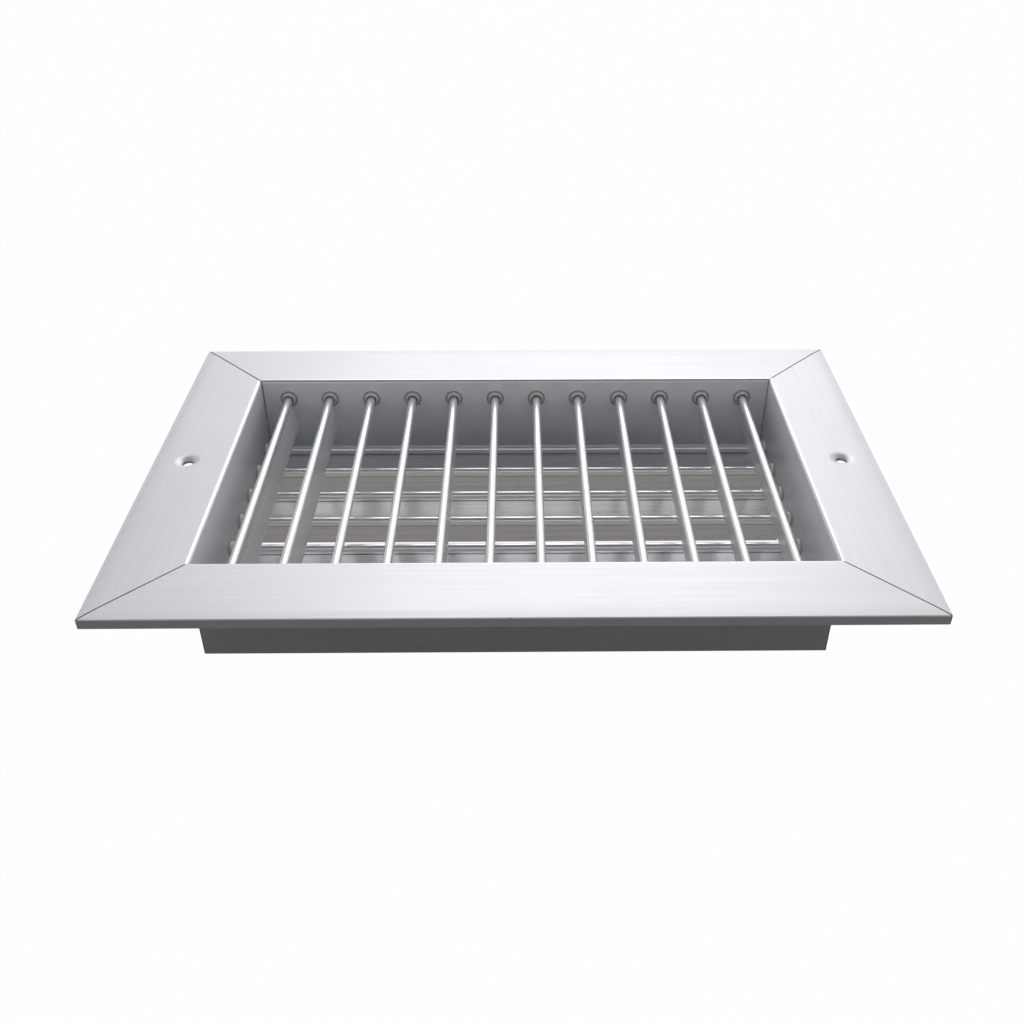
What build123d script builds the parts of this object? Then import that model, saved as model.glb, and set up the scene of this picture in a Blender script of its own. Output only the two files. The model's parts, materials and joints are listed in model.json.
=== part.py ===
"""Supply air grille: a mitred aluminium frame with two crossed rows of turning blades.

The grille lies on the rim of its neck with its face up. X runs along the face, Y across it and Z
up, with the origin in the middle of the neck's rim. All sizes are in millimetres.
"""

import os

from build123d import *

# Face and frame section
face_length = 300.0
face_width = 200.0
flange_width = 31.4
flange_thickness = 1.4
wall_thickness = 1.4
inner_edge_radius = 1.5
outer_edge_radius = 0.45
roll_width = 7.0
roll_drop = 0.35
mitre_gap = 0.2
open_mitre_gap = 0.6

# Slot behind the flange for the corner keys, between two hooked ribs
key_line = 14.0
key_width = 14.0
key_leg = 42.0
key_thickness = 1.7
key_clearance = 0.1
key_chamfer = 2.0
rib_thickness = 1.0
hook_reach = 2.0
hook_thickness = 1.0
lip_overhang = 0.1

# Dimpled screw hole in the middle of each side member
screw_hole_diameter = 4.5
dimple_diameter = 11.0
dimple_depth = 1.3

# Blades, with a round bead that turns in a bush at each end
bead_diameter = 3.6
shoulder_thickness = 1.9
shoulder_drop = 2.3
shoulder_taper = 0.3
blade_thickness = 1.1
blade_reach = 12.2
blade_end_cut = 4.0
front_end_space = 11.9
rear_end_space = 10.4
front_pivot_depth = 9.5
row_gap = 7.7
rim_gap = 0.2

# How far each blade is set from upright, in degrees, in order along its row
front_tilts = (19, 12, -16, -12, 6, -2, 1, -4, -3, 0, 2, 2)
rear_tilts = (2, 7, -33, 6, -34, 8, -4)

# Nylon bushes: a square shank in the neck's wall, a round flange and a six-sided bore that
# grips the round bead
bush_shank = 5.2
bush_fit = 0.05
bush_cover = 0.25
bush_flange_thickness = 0.5
bore_sides = 6
bead_fit = 0.05
bead_setback = 0.2

# Sizes that follow from the ones above
opening_length = face_length - 2 * flange_width
opening_width = face_width - 2 * flange_width
bead_radius = bead_diameter / 2
rear_pivot_depth = front_pivot_depth + blade_reach + row_gap + bead_radius
face_height = rear_pivot_depth + blade_reach + rim_gap
front_pivot_height = face_height - front_pivot_depth
rear_pivot_height = face_height - rear_pivot_depth
slot_height = key_thickness + 2 * key_clearance
slot_width = key_width + 2 * key_clearance
slot_middle = flange_width - key_line
underside = face_height - flange_thickness
lip_depth = flange_thickness + slot_height + hook_thickness + lip_overhang
shank_hole = bush_shank + 2 * bush_fit
bore_radius = bead_radius + bead_fit
up = Vector(0, 0, 1)

os.makedirs("parts", exist_ok=True)


def save(part, name):
    """Label a finished piece and write it to its own file."""
    part.label = name
    export_step(part, f"parts/{name}.step")


def pivot_places(opening, end_space, count):
    """Places of a row's pivots along one side of the opening, even about its middle."""
    span = opening - 2 * end_space
    return [span * (number / (count - 1) - 0.5) for number in range(count)]


# Each side of the frame: the way out from the middle, the reach to its wall and to its corners,
# the height of the pivots in its wall and their places along it
front_places = pivot_places(opening_length, front_end_space, len(front_tilts))
rear_places = pivot_places(opening_width, rear_end_space, len(rear_tilts))
long_side = (opening_width / 2, opening_length / 2, front_pivot_height, front_places)
short_side = (opening_length / 2, opening_width / 2, rear_pivot_height, rear_places)
sides = {
    "front": (Vector(0, -1, 0), *long_side),
    "back": (Vector(0, 1, 0), *long_side),
    "left": (Vector(-1, 0, 0), *short_side),
    "right": (Vector(1, 0, 0), *short_side),
}

# Frame members: flange, return lip, key slot and neck wall in one extrusion, mitred at both ends
for side, (outward, wall_reach, corner_reach, pivot_height, places) in sides.items():
    along = outward.cross(up)
    with BuildPart() as member:
        with BuildSketch(Plane(outward * wall_reach, x_dir=outward, z_dir=along)):
            with BuildLine():
                inner_edge = RadiusArc(
                    (0, face_height - inner_edge_radius),
                    (inner_edge_radius, face_height),
                    inner_edge_radius,
                )
                flat = Line(inner_edge @ 1, (flange_width - roll_width, face_height))
                roll = TangentArc(
                    flat @ 1,
                    (flange_width - outer_edge_radius, face_height - roll_drop),
                    tangent=flat % 1,
                )
                outer_edge = RadiusArc(
                    roll @ 1,
                    (flange_width, face_height - roll_drop - outer_edge_radius),
                    outer_edge_radius,
                )
                Polyline(
                    outer_edge @ 1,
                    (flange_width, face_height - lip_depth),
                    (flange_width - flange_thickness, face_height - lip_depth),
                    (flange_width - flange_thickness, underside),
                    (wall_thickness, underside),
                    (wall_thickness, 0),
                    (0, 0),
                    inner_edge @ 0,
                )
            make_face()
            for facing in (1, -1):
                slot_edge = slot_middle - facing * slot_width / 2
                rib_back = slot_edge - facing * rib_thickness
                hook_tip = slot_edge + facing * hook_reach
                hook_top = underside - slot_height
                with BuildLine():
                    Polyline(
                        (rib_back, underside),
                        (slot_edge, underside),
                        (slot_edge, hook_top),
                        (hook_tip, hook_top),
                        (hook_tip, hook_top - hook_thickness),
                        (rib_back, hook_top - hook_thickness),
                        close=True,
                    )
                make_face()
        extrude(amount=corner_reach + flange_width, both=True)
        for end in (along, -along):
            corner = outward * wall_reach + end * corner_reach
            gap = open_mitre_gap if corner.X < 0 < corner.Y else mitre_gap
            across = (end - outward).normalized()
            split(bisect_by=Plane(corner - across * (gap / 2), z_dir=across), keep=Keep.BOTTOM)
        wall_face = Plane(outward * wall_reach + up * pivot_height, x_dir=along, z_dir=outward)
        with BuildSketch(wall_face):
            with Locations(*[(place, 0) for place in places]):
                Rectangle(shank_hole, shank_hole)
        extrude(amount=wall_thickness, mode=Mode.SUBTRACT)
        if side in ("left", "right"):
            hole_top = outward * (wall_reach + slot_middle) + up * face_height
            hole_radius = screw_hole_diameter / 2
            dimple_radius = dimple_diameter / 2
            ring_radius = dimple_radius + flange_thickness
            with Locations(hole_top - up * flange_thickness):
                Hole(ring_radius, depth=face_height)
            with BuildSketch(Plane(hole_top, x_dir=along, z_dir=along.cross(up))):
                with BuildLine():
                    rim = Line((ring_radius, 0), (dimple_radius, 0))
                    funnel = TangentArc(rim @ 1, (hole_radius, -dimple_depth), tangent=rim % 1)
                    Polyline(
                        funnel @ 1,
                        (hole_radius, -dimple_depth - flange_thickness),
                        (ring_radius, -flange_thickness),
                        rim @ 0,
                    )
                make_face()
            revolve(axis=Axis(hole_top, up))
    save(member.part, f"frame_{side}")

# Corner keys: flat angles that slide into the slots of two members and hold the mitre together
key_height = underside - slot_height / 2
for name, x_side, y_side in (
    ("front_left", -1, -1),
    ("front_right", 1, -1),
    ("back_left", -1, 1),
    ("back_right", 1, 1),
):
    corner = Vector(
        x_side * (opening_length / 2 + slot_middle),
        y_side * (opening_width / 2 + slot_middle),
        key_height,
    )
    key_plane = Plane(corner, x_dir=(-x_side, 0, 0), z_dir=(0, 0, x_side * y_side))
    half_key = key_width / 2
    with BuildPart() as key:
        with BuildSketch(key_plane):
            with BuildLine():
                Polyline(
                    (-half_key, -half_key),
                    (key_leg, -half_key),
                    (key_leg, half_key),
                    (half_key, half_key),
                    (half_key, key_leg),
                    (-half_key, key_leg),
                    close=True,
                )
            outline = make_face()
            inside_first = outline.vertices().sort_by_distance((half_key, half_key))
            chamfer(inside_first[1:], key_chamfer)
        extrude(amount=key_thickness / 2, both=True)
    save(key.part, f"corner_key_{name}")

# Bushes: one is modelled with its flange on the XY plane, then set on every seat in a wall
flange_radius = shank_hole / 2**0.5 + bush_cover
with BuildPart() as bush:
    with BuildSketch():
        Circle(flange_radius)
    extrude(amount=bush_flange_thickness)
    with BuildSketch():
        Rectangle(bush_shank, bush_shank)
    extrude(amount=-wall_thickness)
    with BuildSketch(Plane.XY.offset(bush_flange_thickness)):
        RegularPolygon(bore_radius, side_count=bore_sides, major_radius=False)
    extrude(amount=-bush_flange_thickness - wall_thickness, mode=Mode.SUBTRACT)

for side, (outward, wall_reach, corner_reach, pivot_height, places) in sides.items():
    along = outward.cross(up)
    seats = [
        Plane(outward * wall_reach + along * place + up * pivot_height, x_dir=along, z_dir=-outward)
        for place in places
    ]
    with BuildPart() as wall_bushes:
        with Locations(*seats):
            add(bush.part)
    save(wall_bushes.part, f"{side}_bushes")


def blade(section, opening):
    """One extruded blade: bead, shoulder and thin flat, with bare bead ends that turn in the bushes."""
    body_length = opening - 2 * blade_end_cut
    bead_length = opening + 2 * (wall_thickness - bead_setback)
    with BuildPart() as piece:
        with BuildSketch(section):
            Circle(bead_radius)
        extrude(amount=bead_length / 2, both=True)
        with BuildSketch(section):
            with BuildLine():
                Polyline(
                    (0, 0),
                    (shoulder_thickness / 2, 0),
                    (shoulder_thickness / 2, -shoulder_drop),
                    (blade_thickness / 2, -shoulder_drop - shoulder_taper),
                    (blade_thickness / 2, -blade_reach),
                    (0, -blade_reach),
                )
                mirror(about=Plane.YZ)
            make_face()
        extrude(amount=body_length / 2, both=True)
    return piece.part


# Front blades run across the face, and a positive tilt swings their tails to +X
for number, place in enumerate(front_places):
    turning = Axis((place, 0, front_pivot_height), (0, -1, 0))
    across = Vector(1, 0, 0).rotate(turning, front_tilts[number])
    section = Plane(turning.position, x_dir=across, z_dir=turning.direction)
    save(blade(section, opening_width), f"front_blade_{number + 1:02d}")

# Rear blades run along the face, and a positive tilt swings their tails to +Y
for number, place in enumerate(rear_places):
    turning = Axis((0, place, rear_pivot_height), (1, 0, 0))
    across = Vector(0, 1, 0).rotate(turning, rear_tilts[number])
    section = Plane(turning.position, x_dir=across, z_dir=turning.direction)
    save(blade(section, opening_length), f"rear_blade_{number + 1}")
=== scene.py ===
# %% [markdown]
# # A supply air grille, dressed for its portrait
# The grille is a mitred aluminium frame with two crossed rows of blades, which turn in small nylon
# bushes. Its solids are already made and packed at their real size. This lesson loads them as a
# fixed frame, models the finer pieces over them, gives each surface its finish and lights the whole
# like a product photograph.

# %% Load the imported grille
import json
from math import pi, radians

import bmesh
import bpy
from mathutils import Euler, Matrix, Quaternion, Vector


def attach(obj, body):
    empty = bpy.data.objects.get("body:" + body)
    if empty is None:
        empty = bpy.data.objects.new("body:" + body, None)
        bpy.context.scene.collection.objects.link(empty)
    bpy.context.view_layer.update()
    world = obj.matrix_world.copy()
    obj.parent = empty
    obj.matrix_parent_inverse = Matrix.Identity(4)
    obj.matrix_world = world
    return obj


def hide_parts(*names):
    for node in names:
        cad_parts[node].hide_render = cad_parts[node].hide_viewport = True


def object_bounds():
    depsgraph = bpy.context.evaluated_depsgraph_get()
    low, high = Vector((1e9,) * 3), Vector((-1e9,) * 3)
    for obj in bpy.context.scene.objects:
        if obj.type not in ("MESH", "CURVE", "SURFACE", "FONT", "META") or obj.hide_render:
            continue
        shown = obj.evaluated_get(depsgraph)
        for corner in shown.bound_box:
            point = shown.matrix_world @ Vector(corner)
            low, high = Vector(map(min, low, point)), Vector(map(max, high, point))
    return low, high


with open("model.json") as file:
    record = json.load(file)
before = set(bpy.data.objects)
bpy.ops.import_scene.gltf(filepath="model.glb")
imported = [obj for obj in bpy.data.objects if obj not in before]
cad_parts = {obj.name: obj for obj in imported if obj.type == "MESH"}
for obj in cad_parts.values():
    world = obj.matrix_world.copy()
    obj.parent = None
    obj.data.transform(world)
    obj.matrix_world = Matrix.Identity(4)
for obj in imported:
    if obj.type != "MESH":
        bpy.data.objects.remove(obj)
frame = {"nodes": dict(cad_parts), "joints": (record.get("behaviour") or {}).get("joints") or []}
cad_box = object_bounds()

# %% [markdown]
# ## Units
# Blender's unit here is the metre, and a maker's drawing is in millimetres. One factor turns the
# second into the first, so that every size below can be read as on the drawing.

# %% Millimetres
MM = 0.001
low_corner, high_corner = cad_box
face_height = high_corner.z
print("face length, width and height in mm:", [round(side / MM, 1) for side in high_corner - low_corner])

# %% [markdown]
# ## The camera
# The photograph was taken from in front and above, close enough for strong perspective. The four
# corners of the face and the pivots of the blades were matched to the picture, which gave where the
# camera stood, how it was turned and how long its lens was. The picture's middle is a little beside
# the lens's axis, so the camera has a small shift.

# %% Camera
scene = bpy.context.scene
camera_data = bpy.data.cameras.new("camera")
camera = bpy.data.objects.new("camera", camera_data)
scene.collection.objects.link(camera)
camera_data.sensor_width = 36.0
camera_data.lens = 38.56
camera_data.shift_x = -0.0166
camera_data.shift_y = -0.0042
camera_data.clip_start = 0.01
camera_data.clip_end = 20.0
# How far the camera looks down, looks to the right and leans, in degrees
look_down, look_right, lean = 35.063, 0.576, 0.077
aim = Euler((radians(90 - look_down), 0, radians(-look_right))).to_quaternion()
camera.rotation_mode = "QUATERNION"
camera.rotation_quaternion = aim @ Quaternion((0, 0, 1), radians(lean))
camera.location = Vector((1.77, -384.78, 289.1)) * MM
scene.camera = camera
print("camera stands", round(camera.location.length / MM), "mm from the neck's middle")

# %% [markdown]
# ## Two small helpers
# Colours are written as they look on a screen, as sRGB hex values, and shaders want linear light, so
# one function turns the first into the second. The other adds one node to a node tree, with its
# settings and its links, so that a finish below reads as a list of what it is made of.

# %% Helpers for colours and nodes
# A Mix node has sockets for each kind of data, and those for colours are known by their numbers
SHARE, UNDER, OVER, MIXED = 0, 6, 7, 2


def linear(hex_colour):
    """Linear red, green, blue and alpha of an sRGB hex colour."""
    channels = [int(hex_colour[place:place + 2], 16) / 255 for place in (1, 3, 5)]
    return [c / 12.92 if c <= 0.04045 else ((c + 0.055) / 1.055) ** 2.4 for c in channels] + [1.0]


def add_node(tree, kind, inputs=None, **settings):
    """Add a node: settings are its own properties, inputs are socket values or sockets to link from."""
    node = tree.nodes.new(kind)
    for name, value in settings.items():
        setattr(node, name, value)
    for socket, value in (inputs or {}).items():
        if isinstance(value, bpy.types.NodeSocket):
            tree.links.new(value, node.inputs[socket])
        else:
            node.inputs[socket].default_value = value
    return node


print("white is", linear("#FFFFFF")[0], "and mid grey is", round(linear("#808080")[0], 3))

# %% [markdown]
# ## The studio
# Metal shows what stands around it more than its own colour. The grille lies on white paper in a white
# room: the camera, mirror reflections and glass see pure white, and matt surfaces get an even soft
# light, weaker from in front, as in a room with its window behind the subject. The window is one tall
# soft box. It stands behind the grille, where the flat face mirrors it, so the face is brightest in
# its middle and fades towards its ends.

# %% White room
# Strength of the soft light from in front and from behind, and how far from the middle it still changes
front_light, back_light, light_reach = 0.52, 1.42, 0.7


def seen_share(tree):
    """1 where the camera, a mirror reflection or glass looks, and 0 for the light on matt surfaces."""
    path = add_node(tree, "ShaderNodeLightPath").outputs
    seen = path["Is Camera Ray"]
    for kind in ("Is Glossy Ray", "Is Transmission Ray"):
        seen = add_node(tree, "ShaderNodeMath", {0: seen, 1: path[kind]}, operation="MAXIMUM").outputs[0]
    return seen


scene.view_settings.view_transform = "Standard"
world = bpy.data.worlds.new("white_room")
scene.world = world
world.use_nodes = True
tree = world.node_tree
tree.nodes.clear()
way_in = add_node(tree, "ShaderNodeTexCoord").outputs["Generated"]
behind = add_node(tree, "ShaderNodeSeparateXYZ", {"Vector": way_in}).outputs["Y"]
level = add_node(tree, "ShaderNodeMapRange", {
    "Value": behind, "From Min": -light_reach, "From Max": light_reach,
    "To Min": front_light, "To Max": back_light}).outputs[0]
soft_light = add_node(tree, "ShaderNodeBackground", {"Color": linear("#F1F1F5"), "Strength": level})
white_light = add_node(tree, "ShaderNodeBackground", {"Color": linear("#FFFFFF"), "Strength": 1.0})
both = add_node(tree, "ShaderNodeMixShader", {
    0: seen_share(tree), 1: soft_light.outputs[0], 2: white_light.outputs[0]})
add_node(tree, "ShaderNodeOutputWorld", {"Surface": both.outputs[0]})
print("world:", world.name)

# %% Soft box
lamp_data = bpy.data.lights.new("back_soft_box", "AREA")
lamp_data.shape = "RECTANGLE"
lamp_data.size = 1.1
lamp_data.size_y = 1.52
lamp_data.energy = 7.0
lamp = bpy.data.objects.new("back_soft_box", lamp_data)
scene.collection.objects.link(lamp)
lamp.location = (0.12, 1.43, 1.24)
lamp.rotation_mode = "QUATERNION"
lamp.rotation_quaternion = (lamp.location - Vector((0, 0, face_height))).to_track_quat("Z", "Y")
lamp.visible_camera = False
print("soft box stands", round(lamp.location.length, 2), "m away")

# %% [markdown]
# ## Floor and cards
# The floor is pale paper. The camera sees it almost white, as after a long exposure, and a little of
# the grille's own shadow stays on it. Photographers tone bright metal with cards that the camera
# doesn't see, and so does this studio. The cards glow evenly and show only in mirror reflections. A
# dark flag overhead and dark strips along the horizon draw the dark line beside each bright bead. In
# front stands a nearly white card with a grey one above it, which fills the faces that lean back. The
# left end of the face mirrors a grey card at the back, and cards on the paper give the tone that the
# upright faces mirror.

# %% Floor
# Share of plain white in what the camera sees of the paper; the rest shows the shadow
white_share = 0.99


def stage_card(name, size, location, rotation, material):
    """A flat card of the studio, which isn't part of the grille."""
    bpy.ops.object.select_all(action="DESELECT")
    bpy.ops.mesh.primitive_plane_add(size=1, location=location, rotation=rotation)
    card = bpy.context.object
    card.name = name
    card.scale = (size[0], size[1], 1)
    card.data.materials.append(material)
    return card


# Pale paper: to the eye a bright sheet with no grain
paper = bpy.data.materials.new("pale_paper")
paper.use_nodes = True
tree = paper.node_tree
tree.nodes.clear()
share = add_node(tree, "ShaderNodeMath", {0: seen_share(tree), 1: white_share}, operation="MULTIPLY")
matt = add_node(tree, "ShaderNodeBsdfDiffuse", {"Color": linear("#948E89")})
glow = add_node(tree, "ShaderNodeEmission", {"Color": linear("#FFFFFF"), "Strength": 1.0})
blend = add_node(tree, "ShaderNodeMixShader", {0: share.outputs[0], 1: matt.outputs[0], 2: glow.outputs[0]})
add_node(tree, "ShaderNodeOutputMaterial", {"Surface": blend.outputs[0]})
floor = stage_card("floor", (6, 6), (0, 0, 0), (0, 0, 0), paper)
print("floor:", floor.name)

# %% Cards
flat, facing_down = (0, 0, 0), (pi, 0, 0)
across_view, along_view = (pi / 2, 0, 0), (pi / 2, 0, pi / 2)
# Cards on the paper lie in three layers
low_layer, middle_layer, top_layer = 0.04 * MM, 0.07 * MM, 0.1 * MM
# Each card has a name, a tone, its size and place in metres, and the way it is turned
# Three cards under the grille paint light and shade on the paper for the metal to mirror: the darkest is
# painted shadow under the grille, the pale glowing one inside the neck is painted light that falls through
# the blades, and the grey strip at the foot of the back wall is painted shade.
cards = (
    ("floor_card", "#3B332F", (2.0, 1.6), (0, -0.2, low_layer), flat),
    ("shade_card", "#211D1B", (0.34, 0.24), (0, 0, middle_layer), flat),
    ("neck_card", "#A29F9B", (0.238, 0.11), (0, -0.014, top_layer), flat),
    ("neck_back_card", "#71757B", (0.238, 0.028), (0, 0.055, top_layer), flat),
    ("overhead_flag", "#595B5F", (2.4, 1.5), (0, -0.375, 1.0), facing_down),
    ("left_card", "#BEC0C5", (1.6, 1.0), (-1.2, 0.3, 0.8), along_view),
    ("right_card", "#ECE6E8", (1.6, 1.0), (1.2, 0.3, 0.8), along_view),
    ("left_back_card", "#A0A2A6", (0.8, 1.0), (-1.15, 1.5, 0.95), across_view),
    ("left_low_card", "#4A4745", (1.6, 0.3), (-1.2, 0.3, 0.15), along_view),
    ("right_low_card", "#4A4745", (1.6, 0.3), (1.2, 0.3, 0.15), along_view),
    ("front_high_card", "#B4B5B5", (3.0, 0.24), (0, -1.1, 0.9), across_view),
    ("front_card", "#F2F1F0", (3.0, 0.46), (0, -1.1, 0.55), across_view),
    ("front_low_card", "#4A4745", (3.0, 0.32), (0, -1.1, 0.16), across_view),
)
for name, colour, size, location, rotation in cards:
    toned = bpy.data.materials.new(name)
    toned.use_nodes = True
    tree = toned.node_tree
    tree.nodes.clear()
    glow = add_node(tree, "ShaderNodeEmission", {"Color": linear(colour), "Strength": 1.0})
    add_node(tree, "ShaderNodeOutputMaterial", {"Surface": glow.outputs[0]})
    card = stage_card(name, size, location, rotation, toned)
    card.visible_camera = False
    card.visible_diffuse = False
    card.visible_shadow = False
print("cards:", [card[0] for card in cards])

# %% [markdown]
# ## Picking parts of a mesh
# In edit mode an operator works on what is selected. By hand one clicks; here a test on each face or
# edge says which are picked, by their place or the way they face.

# %% Helpers for modelling


def hold(piece):
    """Make a piece the active one and the only selected one, in object mode."""
    bpy.ops.object.mode_set(mode="OBJECT")
    bpy.ops.object.select_all(action="DESELECT")
    piece.select_set(True)
    bpy.context.view_layer.objects.active = piece


def begin(piece):
    """Open a piece in edit mode with nothing picked."""
    hold(piece)
    bpy.ops.object.mode_set(mode="EDIT")
    bpy.ops.mesh.select_all(action="DESELECT")


def pick(piece, kind, test):
    """Pick the faces or edges of an open piece that pass the test."""
    bpy.ops.mesh.select_all(action="DESELECT")
    bpy.ops.mesh.select_mode(type="FACE" if kind == "faces" else "EDGE")
    mesh = bmesh.from_edit_mesh(piece.data)
    mesh.normal_update()
    for part in getattr(mesh, kind):
        if test(part):
            part.select_set(True)
    bmesh.update_edit_mesh(piece.data)


def settle(piece):
    """Close edit mode and move the piece's place, turn and scale into its mesh."""
    hold(piece)
    bpy.ops.object.transform_apply(location=True, rotation=True, scale=True)


def keep_coordinates(piece, name):
    """Store where each point was modelled, for a finish that follows the piece when it is turned."""
    places = [0.0] * (3 * len(piece.data.vertices))
    piece.data.vertices.foreach_get("co", places)
    piece.data.attributes.new(name, "FLOAT_VECTOR", "POINT").data.foreach_set("vector", places)


def copy_of(piece, name):
    """A copy of a piece with its own mesh."""
    twin = bpy.data.objects.new(name, piece.data.copy())
    scene.collection.objects.link(twin)
    return twin


print("helpers:", [helper.__name__ for helper in (hold, begin, pick, settle, keep_coordinates, copy_of)])

# %% [markdown]
# ## One blade
# A blade is an aluminium extrusion: a round bead, a stout shoulder under it, a fine groove and a thin
# flat with a rounded tail. The same section could be drawn as a curve, but extruding it step by step
# keeps every width in sight. A filled circle is the bead. The edges at its bottom are pulled down and
# drawn in, level by level, and the finished section is then pulled out along the blade, as the press
# pushes it through the die. The flat stops short of the walls, and only the bead goes on as a pin.

# %% Blade model
bead_radius = 1.8 * MM
bead_sides = 48
# The bead's bottom edges within this share of its radius reach half a radius to each side
bottom_share = 0.51
# Each level is a depth under the pivot and the half width that the section has there, in mm
section_levels = (
    (2.3, 0.90), (2.38, 0.42), (2.55, 0.42), (2.63, 0.55), (11.9, 0.55), (12.12, 0.42), (12.2, 0.22),
)
blade_end_cut = 4.0 * MM
wall_thickness = 1.4 * MM
bead_setback = 0.2 * MM
pin_chamfer = 0.25 * MM
blade_smooth_angle = radians(25)
flange_width = 31.4 * MM
opening_x = 2 * (high_corner.x - flange_width)
opening_y = 2 * (high_corner.y - flange_width)


def model_blade(name, opening):
    """An upright blade along X with its pivot at the origin."""
    body = opening - 2 * blade_end_cut
    pin = blade_end_cut + wall_thickness - bead_setback
    bpy.ops.object.select_all(action="DESELECT")
    bpy.ops.mesh.primitive_circle_add(vertices=bead_sides, radius=bead_radius, fill_type="NGON",
                                      location=(-body / 2, 0, 0), rotation=(0, pi / 2, 0))
    blade = bpy.context.object
    blade.name = name
    settle(blade)
    begin(blade)
    bottom = bead_radius * bottom_share
    pick(blade, "edges", lambda edge: all(abs(v.co.y) < bottom and v.co.z < 0 for v in edge.verts))
    half = bead_radius / 2
    for depth, new_half in section_levels:
        bpy.ops.mesh.extrude_region_move()
        bpy.ops.transform.resize(value=(1, new_half * MM / half, 0), center_override=(0, 0, -depth * MM))
        half = new_half * MM
    bpy.ops.mesh.select_all(action="SELECT")
    bpy.ops.mesh.extrude_region_move(TRANSFORM_OT_translate={"value": (body, 0, 0)})
    bpy.ops.mesh.select_all(action="SELECT")
    bpy.ops.mesh.normals_make_consistent(inside=False)
    shrink = 1 - pin_chamfer / bead_radius
    for way in (-1, 1):
        pick(blade, "faces", lambda face: face.normal.x * way > 0.9 and len(face.verts) == bead_sides)
        for step in (pin - pin_chamfer, pin_chamfer):
            bpy.ops.mesh.extrude_region_move(TRANSFORM_OT_translate={"value": (way * step, 0, 0)})
        bpy.ops.transform.resize(value=(1, shrink, shrink), center_override=(0, 0, 0))
    settle(blade)
    bpy.ops.object.shade_smooth_by_angle(angle=blade_smooth_angle)
    return blade


rear_model = model_blade("rear_model", opening_x)
front_model = model_blade("front_model", opening_y)
keep_coordinates(rear_model, "on_blade")
keep_coordinates(front_model, "on_blade")
print("blade models:", [(model.name, len(model.data.polygons)) for model in (rear_model, front_model)])

# %% [markdown]
# ## The two rows
# Each blade is set by hand in its bushes, so none stands quite like the next. The joints of the packed
# model say where each pivot is and which way it turns, and the middle of a joint's range is upright,
# so each copy is turned by what the range is off the middle.

# %% Blades in their places
blades = {}
for joint in frame["joints"]:
    name = joint["child"]
    model = front_model if name.startswith("front") else rear_model
    blade = copy_of(model, f"{name}_extrusion")
    low_turn, high_turn = joint["range_deg"]
    upright = Quaternion((0, 0, 1), radians(90)) if model is front_model else Quaternion()
    blade.rotation_mode = "QUATERNION"
    blade.rotation_quaternion = Quaternion(joint["axis"], radians(-(low_turn + high_turn) / 2)) @ upright
    blade.location = joint["pos_m"]
    settle(blade)
    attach(blade, name)
    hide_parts(name)
    blades[name] = blade
bpy.data.objects.remove(front_model)
bpy.data.objects.remove(rear_model)
print("blades:", len(blades))

# %% [markdown]
# ## One bush
# Each bead turns in a nylon bush pressed into a square hole of the wall. A round flange lies on the
# wall, a rounded collar stands on it, and the bore is wider at its mouth, which gives the dark ring
# round every bead. The bush could be turned from a profile, but its flash and square shank aren't
# round. So the flange, collar and mouth are one disc, raised and drawn in step by step, and a few edges
# of the flange are pulled out as flash. The square shank is a block joined on behind, and a rod cuts
# the bore through both.

# %% Flange, collar and mouth of the bush
bush_flange_radius = 4.0 * MM
bush_sides = 40
# Each step is a rise in mm and the radius that the disc has after it
bush_steps = (
    (0.25, 4.0), (0.08, 3.86), (0.0, 3.3), (0.5, 3.2), (0.35, 3.05), (0.2, 2.8), (0.06, 2.6),
    (0.0, 2.4), (-1.2, 2.25),
)
flash_reach = 0.35 * MM
# Flash grows from the edges that lie beyond this share of the radius towards one corner
flash_share = 0.992

bpy.ops.object.select_all(action="DESELECT")
bpy.ops.mesh.primitive_circle_add(vertices=bush_sides, radius=bush_flange_radius, fill_type="NGON")
bush_model = bpy.context.object
begin(bush_model)
bpy.ops.mesh.select_all(action="SELECT")
radius = bush_flange_radius / MM
for rise, new_radius in bush_steps:
    bpy.ops.mesh.extrude_region_move(TRANSFORM_OT_translate={"value": (0, 0, rise * MM)})
    bpy.ops.transform.resize(value=(new_radius / radius, new_radius / radius, 1), center_override=(0, 0, 0))
    radius = new_radius
bpy.ops.mesh.select_all(action="SELECT")
bpy.ops.mesh.normals_make_consistent(inside=False)
corner_way = Vector((1, 1, 0)).normalized()
flash_starts = flash_share * bush_flange_radius
pick(bush_model, "edges", lambda edge: all(v.co.dot(corner_way) > flash_starts for v in edge.verts))
bpy.ops.transform.translate(value=corner_way * flash_reach)
settle(bush_model)
print("bush without shank:", len(bush_model.data.polygons), "faces")

# %% Shank and bore of the bush
bush_shank = 5.2 * MM
shank_overlap = 0.05 * MM
shank_softness = 0.2 * MM
bore_radius = 1.87 * MM
rod_length = 4 * wall_thickness
bush_smooth_angle = radians(35)


def cut_or_join(piece, tool, operation):
    """Join a tool to a piece, or cut it away, and remove the tool."""
    hold(piece)
    modifier = piece.modifiers.new("with_tool", "BOOLEAN")
    modifier.operation = operation
    modifier.object = tool
    bpy.ops.object.modifier_apply(modifier=modifier.name)
    bpy.data.objects.remove(tool)


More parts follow.
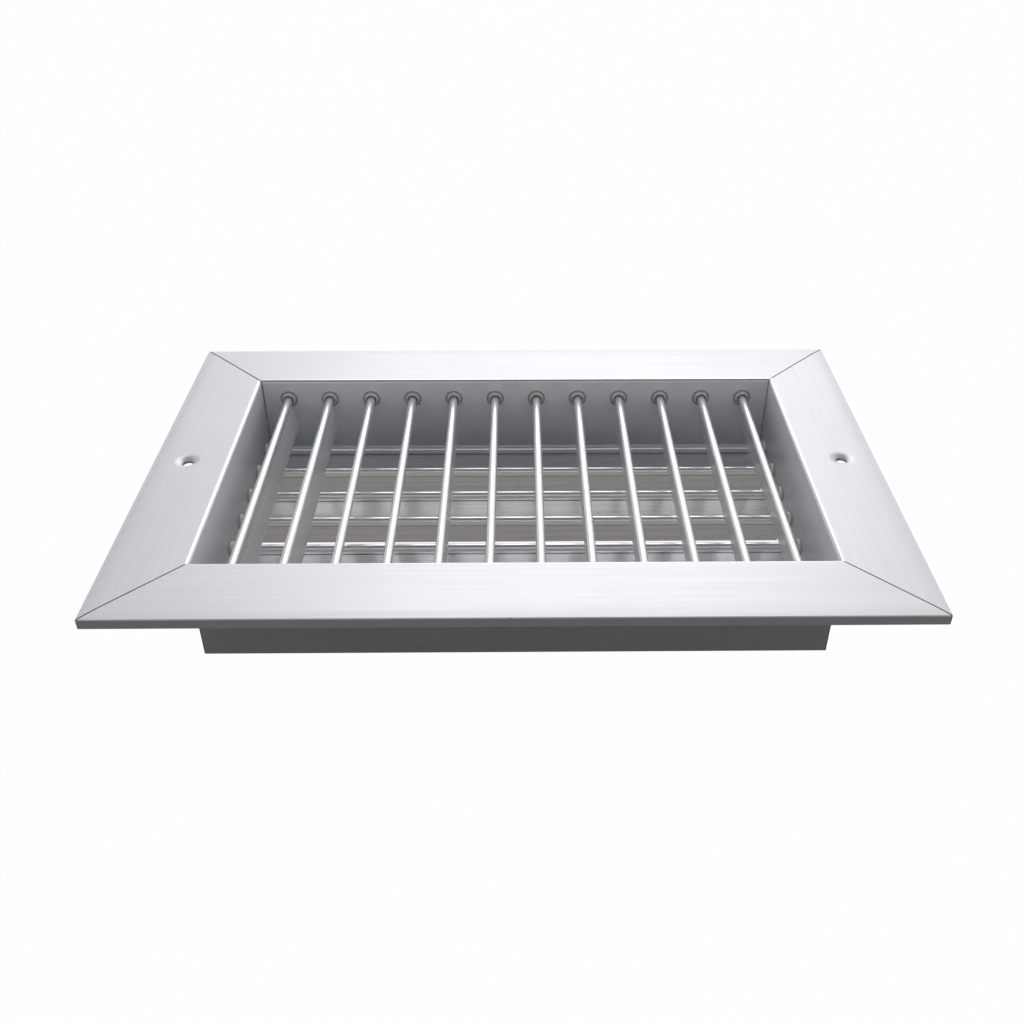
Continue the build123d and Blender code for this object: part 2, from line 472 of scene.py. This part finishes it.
bpy.ops.object.select_all(action="DESELECT")
bpy.ops.mesh.primitive_cube_add(size=1, location=(0, 0, (shank_overlap - wall_thickness) / 2),
                                scale=(bush_shank, bush_shank, wall_thickness + shank_overlap))
shank = bpy.context.object
settle(shank)
begin(shank)
pick(shank, "edges", lambda edge: all(v.co.z < -wall_thickness / 2 for v in edge.verts))
bpy.ops.mesh.bevel(offset=shank_softness, segments=2)
settle(shank)
cut_or_join(bush_model, shank, "UNION")
bpy.ops.object.select_all(action="DESELECT")
bpy.ops.mesh.primitive_cylinder_add(vertices=bush_sides, radius=bore_radius, depth=rod_length)
rod = bpy.context.object
settle(rod)
cut_or_join(bush_model, rod, "DIFFERENCE")
bpy.ops.object.shade_smooth_by_angle(angle=bush_smooth_angle)
keep_coordinates(bush_model, "on_bush")
print("bush model:", len(bush_model.data.polygons), "faces")

# %% [markdown]
# ## Bushes in the walls
# A bush sits at both ends of every blade. Each wall's bushes become one piece. A little flash shows
# at one corner of a bush, and not at the same corner in all of them, so each copy is turned by some
# quarter turns.

# %% Bushes in their places
quarter_turns = (1, 0, 2, 3, 1, 1, 3, 0, 2, 3, 1, 0)
walls = {
    "front": (Vector((0, -1, 0)), opening_y / 2),
    "back": (Vector((0, 1, 0)), opening_y / 2),
    "left": (Vector((-1, 0, 0)), opening_x / 2),
    "right": (Vector((1, 0, 0)), opening_x / 2),
}
bush_rows = {}
for wall, (outward, reach) in walls.items():
    row = "front" if wall in ("front", "back") else "rear"
    facing = (-outward).to_track_quat("Z", "Y")
    row_bushes = []
    for joint in frame["joints"]:
        if joint["child"].startswith(row):
            bush = copy_of(bush_model, f"{wall}_bush")
            bush.rotation_mode = "QUATERNION"
            quarter = quarter_turns[len(row_bushes)] * pi / 2
            bush.rotation_quaternion = facing @ Quaternion((0, 0, 1), quarter)
            bush.location = Vector(joint["pos_m"]) + outward * reach
            row_bushes.append(bush)
    bpy.ops.object.select_all(action="DESELECT")
    for bush in row_bushes:
        bush.select_set(True)
    bpy.context.view_layer.objects.active = row_bushes[0]
    bpy.ops.object.transform_apply(location=True, rotation=True, scale=True)
    bpy.ops.object.join()
    joined = bpy.context.object
    joined.name = f"{wall}_bush_row"
    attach(joined, "frame")
    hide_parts(f"{wall}_bushes")
    bush_rows[wall] = joined
bpy.data.objects.remove(bush_model)
print("bush rows:", {wall: len(piece.data.polygons) for wall, piece in bush_rows.items()})

# %% [markdown]
# ## Frame members and corner keys with soft edges
# The sawn mitres and the edges of the extrusion aren't razor sharp, and a thin bright line along an
# edge is what makes metal look solid. The members could be modelled again, but their solids already
# have the true section. So each solid is copied, its loose triangles are merged and its flat faces made
# whole, and a narrow bevel goes on the edges. The solid itself stays as it is.

# %% Softened copies
edge_softness = 0.12 * MM
merge_gap = 0.002 * MM
flat_angle = radians(0.3)
bevel_angle = radians(40)
member_smooth_angle = radians(30)


def soften(node_name, name):
    """A copy of a CAD piece with whole faces and softened edges, which stands for it."""
    piece = copy_of(frame["nodes"][node_name], name)
    begin(piece)
    bpy.ops.mesh.select_all(action="SELECT")
    bpy.ops.mesh.customdata_custom_splitnormals_clear()
    bpy.ops.mesh.remove_doubles(threshold=merge_gap)
    bpy.ops.mesh.dissolve_limited(angle_limit=flat_angle)
    settle(piece)
    bevel = piece.modifiers.new("soft_edges", "BEVEL")
    bevel.width = edge_softness
    bevel.segments = 2
    bevel.limit_method = "ANGLE"
    bevel.angle_limit = bevel_angle
    bpy.ops.object.modifier_apply(modifier=bevel.name)
    bpy.ops.object.shade_smooth_by_angle(angle=member_smooth_angle)
    even = piece.modifiers.new("flats_stay_flat", "WEIGHTED_NORMAL")
    even.keep_sharp = True
    bpy.ops.object.modifier_apply(modifier=even.name)
    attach(piece, "frame")
    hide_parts(node_name)
    return piece


members = {side: soften(f"frame_{side}", f"{side}_member") for side in walls}
keys = [soften(name, f"{name}_angle") for name in frame["nodes"] if name.startswith("corner_key")]
print("members:", {side: len(piece.data.polygons) for side, piece in members.items()})

# %% [markdown]
# ## Starting a finish
# Every finish is one Principled shader whose colour, roughness and relief are then varied. The values
# that are the same all over are set on the shader itself. A finish replaces whatever a piece had.

# %% Helpers for finishes
# A noise seldom leaves these levels, so a pattern's two tones or glosses are set against them
mild_noise = {"From Min": 0.35, "From Max": 0.65}
full_noise = {"From Min": 0.3, "From Max": 0.7}
wide_noise = {"From Min": 0.25, "From Max": 0.75}


def new_finish(name):
    """A material with its node tree and its shader."""
    finish = bpy.data.materials.new(name)
    finish.use_nodes = True
    return finish, finish.node_tree, finish.node_tree.nodes["Principled BSDF"]


def dress(pieces, finish):
    """Give pieces one finish in place of what they had."""
    for piece in pieces:
        piece.data.materials.clear()
        piece.data.materials.append(finish)


print("helpers:", [helper.__name__ for helper in (new_finish, dress)])

# %% [markdown]
# ## Satin anodised aluminium for the frame
# The members are pressed through a die, etched and anodised. The die leaves faint streaks along the
# member, the etching softens them and the oxide film scatters light, so the metal looks silky and not
# like a mirror. A picture of brushed metal could be wrapped round the frame. Here a noise that is
# stretched along the member draws the streaks. The finest ones wouldn't show, so they are drawn as
# broad as the broadest. Slow clouds in the film and a few dark specks keep the flange from looking
# printed.

# %% Streaks, clouds and specks
streak_width = 1.6 * MM
streak_length = 160 * MM
cloud_size = 45 * MM
cloud_share = 0.25
speck_spacing = 90 * MM
speck_radius = 0.3 * MM
speck_share = 0.8


def drawn_metal(tree, place, unrolled):
    """Tone of the metal as it leaves the works, and the streaks in it."""
    stretch = add_node(tree, "ShaderNodeVectorMath", {
        0: unrolled, 1: (1 / streak_width, 1 / streak_length, 0)}, operation="MULTIPLY").outputs[0]
    streaks = add_node(tree, "ShaderNodeTexNoise", {
        "Vector": stretch, "Scale": 1.0, "Detail": 3.0, "Roughness": 0.65}, noise_dimensions="2D").outputs[0]
    share = add_node(tree, "ShaderNodeMapRange", {"Value": streaks, **full_noise}).outputs[0]
    tone = add_node(tree, "ShaderNodeMix", {
        SHARE: share, UNDER: linear("#CFD0D2"), OVER: linear("#D5D5D8")}, data_type="RGBA").outputs[MIXED]
    clouds = add_node(tree, "ShaderNodeTexNoise", {"Vector": place, "Scale": 1 / cloud_size}).outputs[0]
    share = add_node(tree, "ShaderNodeMapRange", {
        "Value": clouds, **mild_noise, "To Max": cloud_share}).outputs[0]
    tone = add_node(tree, "ShaderNodeMix", {
        SHARE: share, UNDER: tone, OVER: linear("#C7C9CD")}, data_type="RGBA").outputs[MIXED]
    grid = add_node(tree, "ShaderNodeVectorMath", {
        0: unrolled, 1: (1 / speck_spacing, 1 / speck_spacing, 0)}, operation="MULTIPLY").outputs[0]
    from_speck = add_node(tree, "ShaderNodeTexVoronoi", {
        "Vector": grid, "Scale": 1.0}, voronoi_dimensions="2D").outputs["Distance"]
    radius = speck_radius / speck_spacing
    share = add_node(tree, "ShaderNodeMapRange", {
        "Value": from_speck, "From Min": radius / 2, "From Max": radius,
        "To Min": speck_share, "To Max": 0.0}).outputs[0]
    tone = add_node(tree, "ShaderNodeMix", {
        SHARE: share, UNDER: tone, OVER: linear("#7A7672")}, data_type="RGBA").outputs[MIXED]
    return tone, streaks


print("streaks in mm:", round(streak_width / MM, 2), "wide and", round(streak_length / MM), "long")

# %% [markdown]
# ## Dirt, painted shade and painted light on the frame
# A frame isn't the same all over. Dirt stays in the sawn mitres. The outer edge and the face of the lip
# are darkened, which is painted shade, and the inside of the neck is given a pale bluish tone, which is
# painted light. Such places could be painted on by hand. Here the distance from the middle of the opening
# tells where a point lies on the section, so each place is a band of that distance. A mitre is where a
# point is as far past the opening's side as past its end.

# %% Dirt, painted shade and painted light
seam_width = 0.4 * MM
edge_shade_width = 0.35 * MM
edge_shade_share = 0.2
inner_light_share = 0.7
rim_blend = 0.2 * MM
outer_reach = {"X": high_corner.x, "Y": high_corner.y}
inner_reach = {"X": opening_x / 2, "Y": opening_y / 2}
corner_lead = {"X": high_corner.x - high_corner.y, "Y": high_corner.y - high_corner.x}


def mitre_dirt_and_painted_light(tree, tone, reach, sideways, along, across):
    """The tone with dirt in the mitres, painted shade on the outer edge and painted light inside the neck."""
    lead = add_node(tree, "ShaderNodeMath", {0: sideways, 1: reach}, operation="SUBTRACT").outputs[0]
    seam = add_node(tree, "ShaderNodeMath", {
        0: lead, 1: corner_lead[along], 2: seam_width}, operation="COMPARE").outputs[0]
    edge_shade = add_node(tree, "ShaderNodeMapRange", {
        "Value": reach, "From Min": outer_reach[across] - edge_shade_width, "From Max": outer_reach[across],
        "To Max": edge_shade_share}).outputs[0]
    inside = add_node(tree, "ShaderNodeMapRange", {
        "Value": reach, "From Min": inner_reach[across], "From Max": inner_reach[across] + rim_blend,
        "To Min": inner_light_share, "To Max": 0.0}).outputs[0]
    # Dark mitres are dirt, the darker outer edge and lip are painted shade, and the pale bluish inside of the
    # neck is painted light
    for share, colour in ((seam, "#6A6764"), (edge_shade, "#6F6A66"), (inside, "#E7EBEF")):
        tone = add_node(tree, "ShaderNodeMix", {
            SHARE: share, UNDER: tone, OVER: linear(colour)}, data_type="RGBA").outputs[MIXED]
    return tone


print("mitre dirt in mm:", round(seam_width / MM, 2), "to each side")

# %% [markdown]
# ## The bright inner edge, and the finish as a whole
# The rounded edge round the opening is barer and smoother metal, and its tone is lightened as well,
# which is a painted highlight, so it draws a bright line. Streaks run along X on the long members and
# along Y on the short ones, and the way across is counted round the section: over the flange first and
# then down the wall.

# %% Satin anodised aluminium
rim_radius = 1.5 * MM
rim_depth = 0.6 * MM
film_metallic, rim_metallic = 0.54, 0.85
dull_streak, bright_streak, rim_roughness = 0.43, 0.39, 0.22


def rim_highlight_mask(tree, reach, height, across):
    """1 on the rounded inner edge of the flange and 0 elsewhere."""
    rim_ends = inner_reach[across] + rim_radius
    rim_foot = face_height - rim_depth
    near_opening = add_node(tree, "ShaderNodeMapRange", {
        "Value": reach, "From Min": rim_ends - rim_blend, "From Max": rim_ends,
        "To Min": 1.0, "To Max": 0.0}).outputs[0]
    near_face = add_node(tree, "ShaderNodeMapRange", {
        "Value": height, "From Min": rim_foot - rim_blend, "From Max": rim_foot}).outputs[0]
    return add_node(tree, "ShaderNodeMath", {0: near_opening, 1: near_face}, operation="MULTIPLY").outputs[0]


def satin_aluminium(name, along, across):
    """Silky bright metal with faint streaks, dirt in the mitres, painted shade on the outer edge, painted
    light inside the neck and a painted highlight round the opening.
    """
    finish, tree, shader = new_finish(name)
    place = add_node(tree, "ShaderNodeTexCoord").outputs["Object"]
    axes = add_node(tree, "ShaderNodeSeparateXYZ", {"Vector": place}).outputs
    reach = add_node(tree, "ShaderNodeMath", {0: axes[across]}, operation="ABSOLUTE").outputs[0]
    sideways = add_node(tree, "ShaderNodeMath", {0: axes[along]}, operation="ABSOLUTE").outputs[0]
    girth = add_node(tree, "ShaderNodeMath", {0: reach, 1: axes["Z"]}, operation="ADD").outputs[0]
    unrolled = add_node(tree, "ShaderNodeCombineXYZ", {"X": girth, "Y": axes[along]}).outputs[0]
    tone, streaks = drawn_metal(tree, place, unrolled)
    tone = mitre_dirt_and_painted_light(tree, tone, reach, sideways, along, across)
    rim = rim_highlight_mask(tree, reach, axes["Z"], across)
    # Painted highlight: the rounded inner edge is given a lighter tone
    tone = add_node(tree, "ShaderNodeMix", {
        SHARE: rim, UNDER: tone, OVER: linear("#E4E5E7")}, data_type="RGBA").outputs[MIXED]
    tree.links.new(tone, shader.inputs["Base Color"])
    # The oxide film scatters a good part of the light, so to the eye the metal is silk and not a mirror
    bare = add_node(tree, "ShaderNodeMapRange", {
        "Value": rim, "To Min": film_metallic, "To Max": rim_metallic}).outputs[0]
    tree.links.new(bare, shader.inputs["Metallic"])
    gloss = add_node(tree, "ShaderNodeMapRange", {
        "Value": streaks, **wide_noise, "To Min": dull_streak, "To Max": bright_streak}).outputs[0]
    gloss = add_node(tree, "ShaderNodeMapRange", {
        "Value": rim, "To Min": gloss, "To Max": rim_roughness}).outputs[0]
    tree.links.new(gloss, shader.inputs["Roughness"])
    relief = add_node(tree, "ShaderNodeBump", {"Strength": 0.05, "Distance": 0.02 * MM, "Height": streaks})
    tree.links.new(relief.outputs[0], shader.inputs["Normal"])
    return finish


dress([members["front"], members["back"]], satin_aluminium("satin_anodised_aluminium_long", "X", "Y"))
dress([members["left"], members["right"]], satin_aluminium("satin_anodised_aluminium_short", "Y", "X"))
print("frame finish:", members["front"].data.materials[0].name, members["left"].data.materials[0].name)

# %% [markdown]
# ## Extruded aluminium for the blades
# The blades come from a finer die. Its lines show along the flats as thin light and dark threads, drawn
# coarser than the real ones so that they show. A few short scratches come from handling, and the groove
# under the shoulder is darkened, which is painted shade. The marks could be drawn on one long strip and
# cut up. Here each blade keeps the coordinates it was modelled in, along its length and down its height,
# so that they follow the blade at any tilt, and each blade starts at its own place in the pattern.

# %% Die lines, marks and painted shade in the groove
die_line_width = 0.55 * MM
die_line_length = 120 * MM
mark_length = 5 * MM
mark_height = 1.1 * MM
# Only the peaks of a noise become marks: none up to the first level, and full from the second
mark_starts, mark_full, mark_share = 0.625, 0.665, 0.75
groove_middle = -2.5 * MM
groove_half = 0.28 * MM
groove_shade_share = 0.7
# Blades are cut from a strip of this many metres
strip_length = 10.0


def die_drawn_metal(tree, place, height):
    """Tone of a blade's flat, and the die lines in it."""
    chance = add_node(tree, "ShaderNodeObjectInfo").outputs["Random"]
    start = add_node(tree, "ShaderNodeCombineXYZ", {"X": chance}).outputs[0]
    own_place = add_node(tree, "ShaderNodeVectorMath", {
        0: start, 1: (strip_length, 0, 0), 2: place}, operation="MULTIPLY_ADD").outputs[0]
    stretch = add_node(tree, "ShaderNodeVectorMath", {
        0: own_place, 1: (1 / die_line_length, 0, 1 / die_line_width)}, operation="MULTIPLY").outputs[0]
    lines = add_node(tree, "ShaderNodeTexNoise", {
        "Vector": stretch, "Scale": 1.0, "Detail": 3.0, "Roughness": 0.7}).outputs[0]
    share = add_node(tree, "ShaderNodeMapRange", {"Value": lines, **full_noise}).outputs[0]
    tone = add_node(tree, "ShaderNodeMix", {
        SHARE: share, UNDER: linear("#C9C9CA"), OVER: linear("#F0F0F1")}, data_type="RGBA").outputs[MIXED]
    stretch = add_node(tree, "ShaderNodeVectorMath", {
        0: own_place, 1: (1 / mark_length, 0, 1 / mark_height)}, operation="MULTIPLY").outputs[0]
    marks = add_node(tree, "ShaderNodeTexNoise", {
        "Vector": stretch, "Scale": 1.0, "Detail": 4.0, "Roughness": 0.7}).outputs[0]
    marked = add_node(tree, "ShaderNodeMapRange", {
        "Value": marks, "From Min": mark_starts, "From Max": mark_full, "To Max": mark_share}).outputs[0]
    # Painted shade: the groove under the shoulder is given a darker tone
    groove = add_node(tree, "ShaderNodeMath", {
        0: height, 1: groove_middle, 2: groove_half}, operation="COMPARE").outputs[0]
    groove_shade = add_node(tree, "ShaderNodeMapRange", {"Value": groove, "To Max": groove_shade_share}).outputs[0]
    for share, colour in ((marked, "#7B7875"), (groove_shade, "#5A5754")):
        tone = add_node(tree, "ShaderNodeMix", {
            SHARE: share, UNDER: tone, OVER: linear(colour)}, data_type="RGBA").outputs[MIXED]
    return tone, lines


print("die lines in mm:", round(die_line_width / MM, 2), "wide and", round(die_line_length / MM), "long")

# %% [markdown]
# ## Bead and flat
# The bead, which fingers and bushes rub, is barer metal than the flat and draws the bright line along
# each blade. The flats of the front row, which hands reach, are duller than those of the rear row, so
# the two rows share one recipe and differ in the roughness of the flat.

# %% Extruded aluminium
bead_ends = -1.4 * MM
flat_starts = -1.9 * MM
bead_metallic, flat_metallic = 0.9, 0.64
bead_roughness, handled_roughness, clean_roughness = 0.31, 0.32, 0.18


def extruded_aluminium(name, flat_roughness):
    """Bright bead over a greyer flat with fine die lines, small marks and painted shade in the groove."""
    finish, tree, shader = new_finish(name)
    place = add_node(tree, "ShaderNodeAttribute", attribute_name="on_blade").outputs["Vector"]
    height = add_node(tree, "ShaderNodeSeparateXYZ", {"Vector": place}).outputs["Z"]
    tone, lines = die_drawn_metal(tree, place, height)
    flat_share = add_node(tree, "ShaderNodeMapRange", {
        "Value": height, "From Min": bead_ends, "From Max": flat_starts}).outputs[0]
    tone = add_node(tree, "ShaderNodeMix", {
        SHARE: flat_share, UNDER: linear("#EAEAEB"), OVER: tone}, data_type="RGBA").outputs[MIXED]
    tree.links.new(tone, shader.inputs["Base Color"])
    # Rubbed metal gives the eye a sharp bright line, and the filmed flat a soft grey with threads in it
    bare = add_node(tree, "ShaderNodeMapRange", {
        "Value": flat_share, "To Min": bead_metallic, "To Max": flat_metallic}).outputs[0]
    tree.links.new(bare, shader.inputs["Metallic"])
    gloss = add_node(tree, "ShaderNodeMapRange", {
        "Value": flat_share, "To Min": bead_roughness, "To Max": flat_roughness}).outputs[0]
    tree.links.new(gloss, shader.inputs["Roughness"])
    relief = add_node(tree, "ShaderNodeBump", {"Strength": 0.3, "Distance": 0.015 * MM, "Height": lines})
    tree.links.new(relief.outputs[0], shader.inputs["Normal"])
    return finish


front_row = [blade for name, blade in blades.items() if name.startswith("front")]
rear_row = [blade for name, blade in blades.items() if name.startswith("rear")]
dress(front_row, extruded_aluminium("extruded_aluminium_handled", handled_roughness))
dress(rear_row, extruded_aluminium("extruded_aluminium", clean_roughness))
print("blade finish on", len(front_row), "front blades and", len(rear_row), "rear blades")

# %% [markdown]
# ## Nylon for the bushes
# Unfilled nylon is a milky grey white with a soft gloss, and a moulded piece has a faint mottle and no
# grain. The flange is painted greyer than the collar and darker still in the crease round it, which is
# painted shade, so the collar is the palest. The bushes in the front and back walls, which lie nearer the
# face, get a darker copy of the nylon, also painted shade, and those in the side walls the paler one. A
# plain grey could stand for the shade, but each bush keeps the coordinates it was modelled in, so the
# painted shade follows rings about its bore.

# %% Natural nylon and its shaded copy
mottle_size = 1.6 * MM
collar_edge = 3.1 * MM
flange_shade_from = 3.4 * MM
crease_from = 3.7 * MM
flange_edge = 4.0 * MM
glossy_mottle, dull_mottle = 0.36, 0.48


def moulded_nylon(name, shade, light, flange_shade, crease_shade):
    """Milky plastic with a faint mottle between two tones, with painted shade on the flange and in the crease
    round the collar.
    """
    finish, tree, shader = new_finish(name)
    place = add_node(tree, "ShaderNodeTexCoord").outputs["Object"]
    mottle = add_node(tree, "ShaderNodeTexNoise", {
        "Vector": place, "Scale": 1 / mottle_size, "Detail": 3.0}).outputs[0]
    share = add_node(tree, "ShaderNodeMapRange", {"Value": mottle, **mild_noise}).outputs[0]
    tone = add_node(tree, "ShaderNodeMix", {
        SHARE: share, UNDER: linear(shade), OVER: linear(light)}, data_type="RGBA").outputs[MIXED]
    on_bush = add_node(tree, "ShaderNodeAttribute", attribute_name="on_bush").outputs["Vector"]
    on_flange = add_node(tree, "ShaderNodeVectorMath", {
        0: on_bush, 1: (1, 1, 0)}, operation="MULTIPLY").outputs[0]
    radius = add_node(tree, "ShaderNodeVectorMath", {0: on_flange}, operation="LENGTH").outputs["Value"]
    # Painted shade: the flange beyond the collar is greyed, and darker still in the crease at its rim
    for starts, ends, colour in ((collar_edge, flange_shade_from, flange_shade), (crease_from, flange_edge, crease_shade)):
        share = add_node(tree, "ShaderNodeMapRange", {
            "Value": radius, "From Min": starts, "From Max": ends}).outputs[0]
        tone = add_node(tree, "ShaderNodeMix", {
            SHARE: share, UNDER: tone, OVER: linear(colour)}, data_type="RGBA").outputs[MIXED]
    tree.links.new(tone, shader.inputs["Base Color"])
    # Moulded nylon gives the eye a soft, waxy sheen that is uneven from spot to spot
    gloss = add_node(tree, "ShaderNodeMapRange", {
        "Value": mottle, **full_noise, "To Min": glossy_mottle, "To Max": dull_mottle}).outputs[0]
    tree.links.new(gloss, shader.inputs["Roughness"])
    relief = add_node(tree, "ShaderNodeBump", {"Strength": 0.1, "Distance": 0.03 * MM, "Height": mottle})
    tree.links.new(relief.outputs[0], shader.inputs["Normal"])
    return finish


# The bushes in the front and back walls get a darker copy of the nylon, which is painted shade
shaded_nylon = moulded_nylon("shaded_nylon", "#B0AFAC", "#C8C6C3", "#979694", "#7E7C78")
natural_nylon = moulded_nylon("natural_nylon", "#EBE9E5", "#F6F4F0", "#D2D0CC", "#A3A19D")
dress([bush_rows["front"], bush_rows["back"]], shaded_nylon)
dress([bush_rows["left"], bush_rows["right"]], natural_nylon)
print("bush finish:", [row.data.materials[0].name for row in bush_rows.values()])

# %% [markdown]
# ## Mill-finish aluminium for the corner keys
# The keys are punched from rolled sheet and never anodised. They are greyer and duller than the frame,
# with short rolling lines along X, drawn coarser than the real ones so that they show. A plain grey
# metal would do for pieces that show only from behind, but the lines tell sheet from extrusion.

# %% Mill-finish aluminium
rolling_width = 0.5 * MM
rolling_length = 18 * MM
dull_line, bright_line = 0.5, 0.36
mill, tree, shader = new_finish("mill_finish_aluminium")
# Bare rolled metal gives the eye a grey, slightly greasy shine
shader.inputs["Metallic"].default_value = 0.95
place = add_node(tree, "ShaderNodeTexCoord").outputs["Object"]
stretch = add_node(tree, "ShaderNodeVectorMath", {
    0: place, 1: (1 / rolling_length, 1 / rolling_width, 1 / rolling_width)}, operation="MULTIPLY").outputs[0]
rolling = add_node(tree, "ShaderNodeTexNoise", {"Vector": stretch, "Scale": 1.0, "Detail": 3.0}).outputs[0]
share = add_node(tree, "ShaderNodeMapRange", {"Value": rolling, **full_noise}).outputs[0]
tone = add_node(tree, "ShaderNodeMix", {
    SHARE: share, UNDER: linear("#A6A7AA"), OVER: linear("#C6C7C9")}, data_type="RGBA").outputs[MIXED]
tree.links.new(tone, shader.inputs["Base Color"])
gloss = add_node(tree, "ShaderNodeMapRange", {
    "Value": rolling, **full_noise, "To Min": dull_line, "To Max": bright_line}).outputs[0]
tree.links.new(gloss, shader.inputs["Roughness"])
relief = add_node(tree, "ShaderNodeBump", {"Strength": 0.1, "Distance": 0.02 * MM, "Height": rolling})
tree.links.new(relief.outputs[0], shader.inputs["Normal"])
dress(keys, mill)
print("key finish:", mill.name)
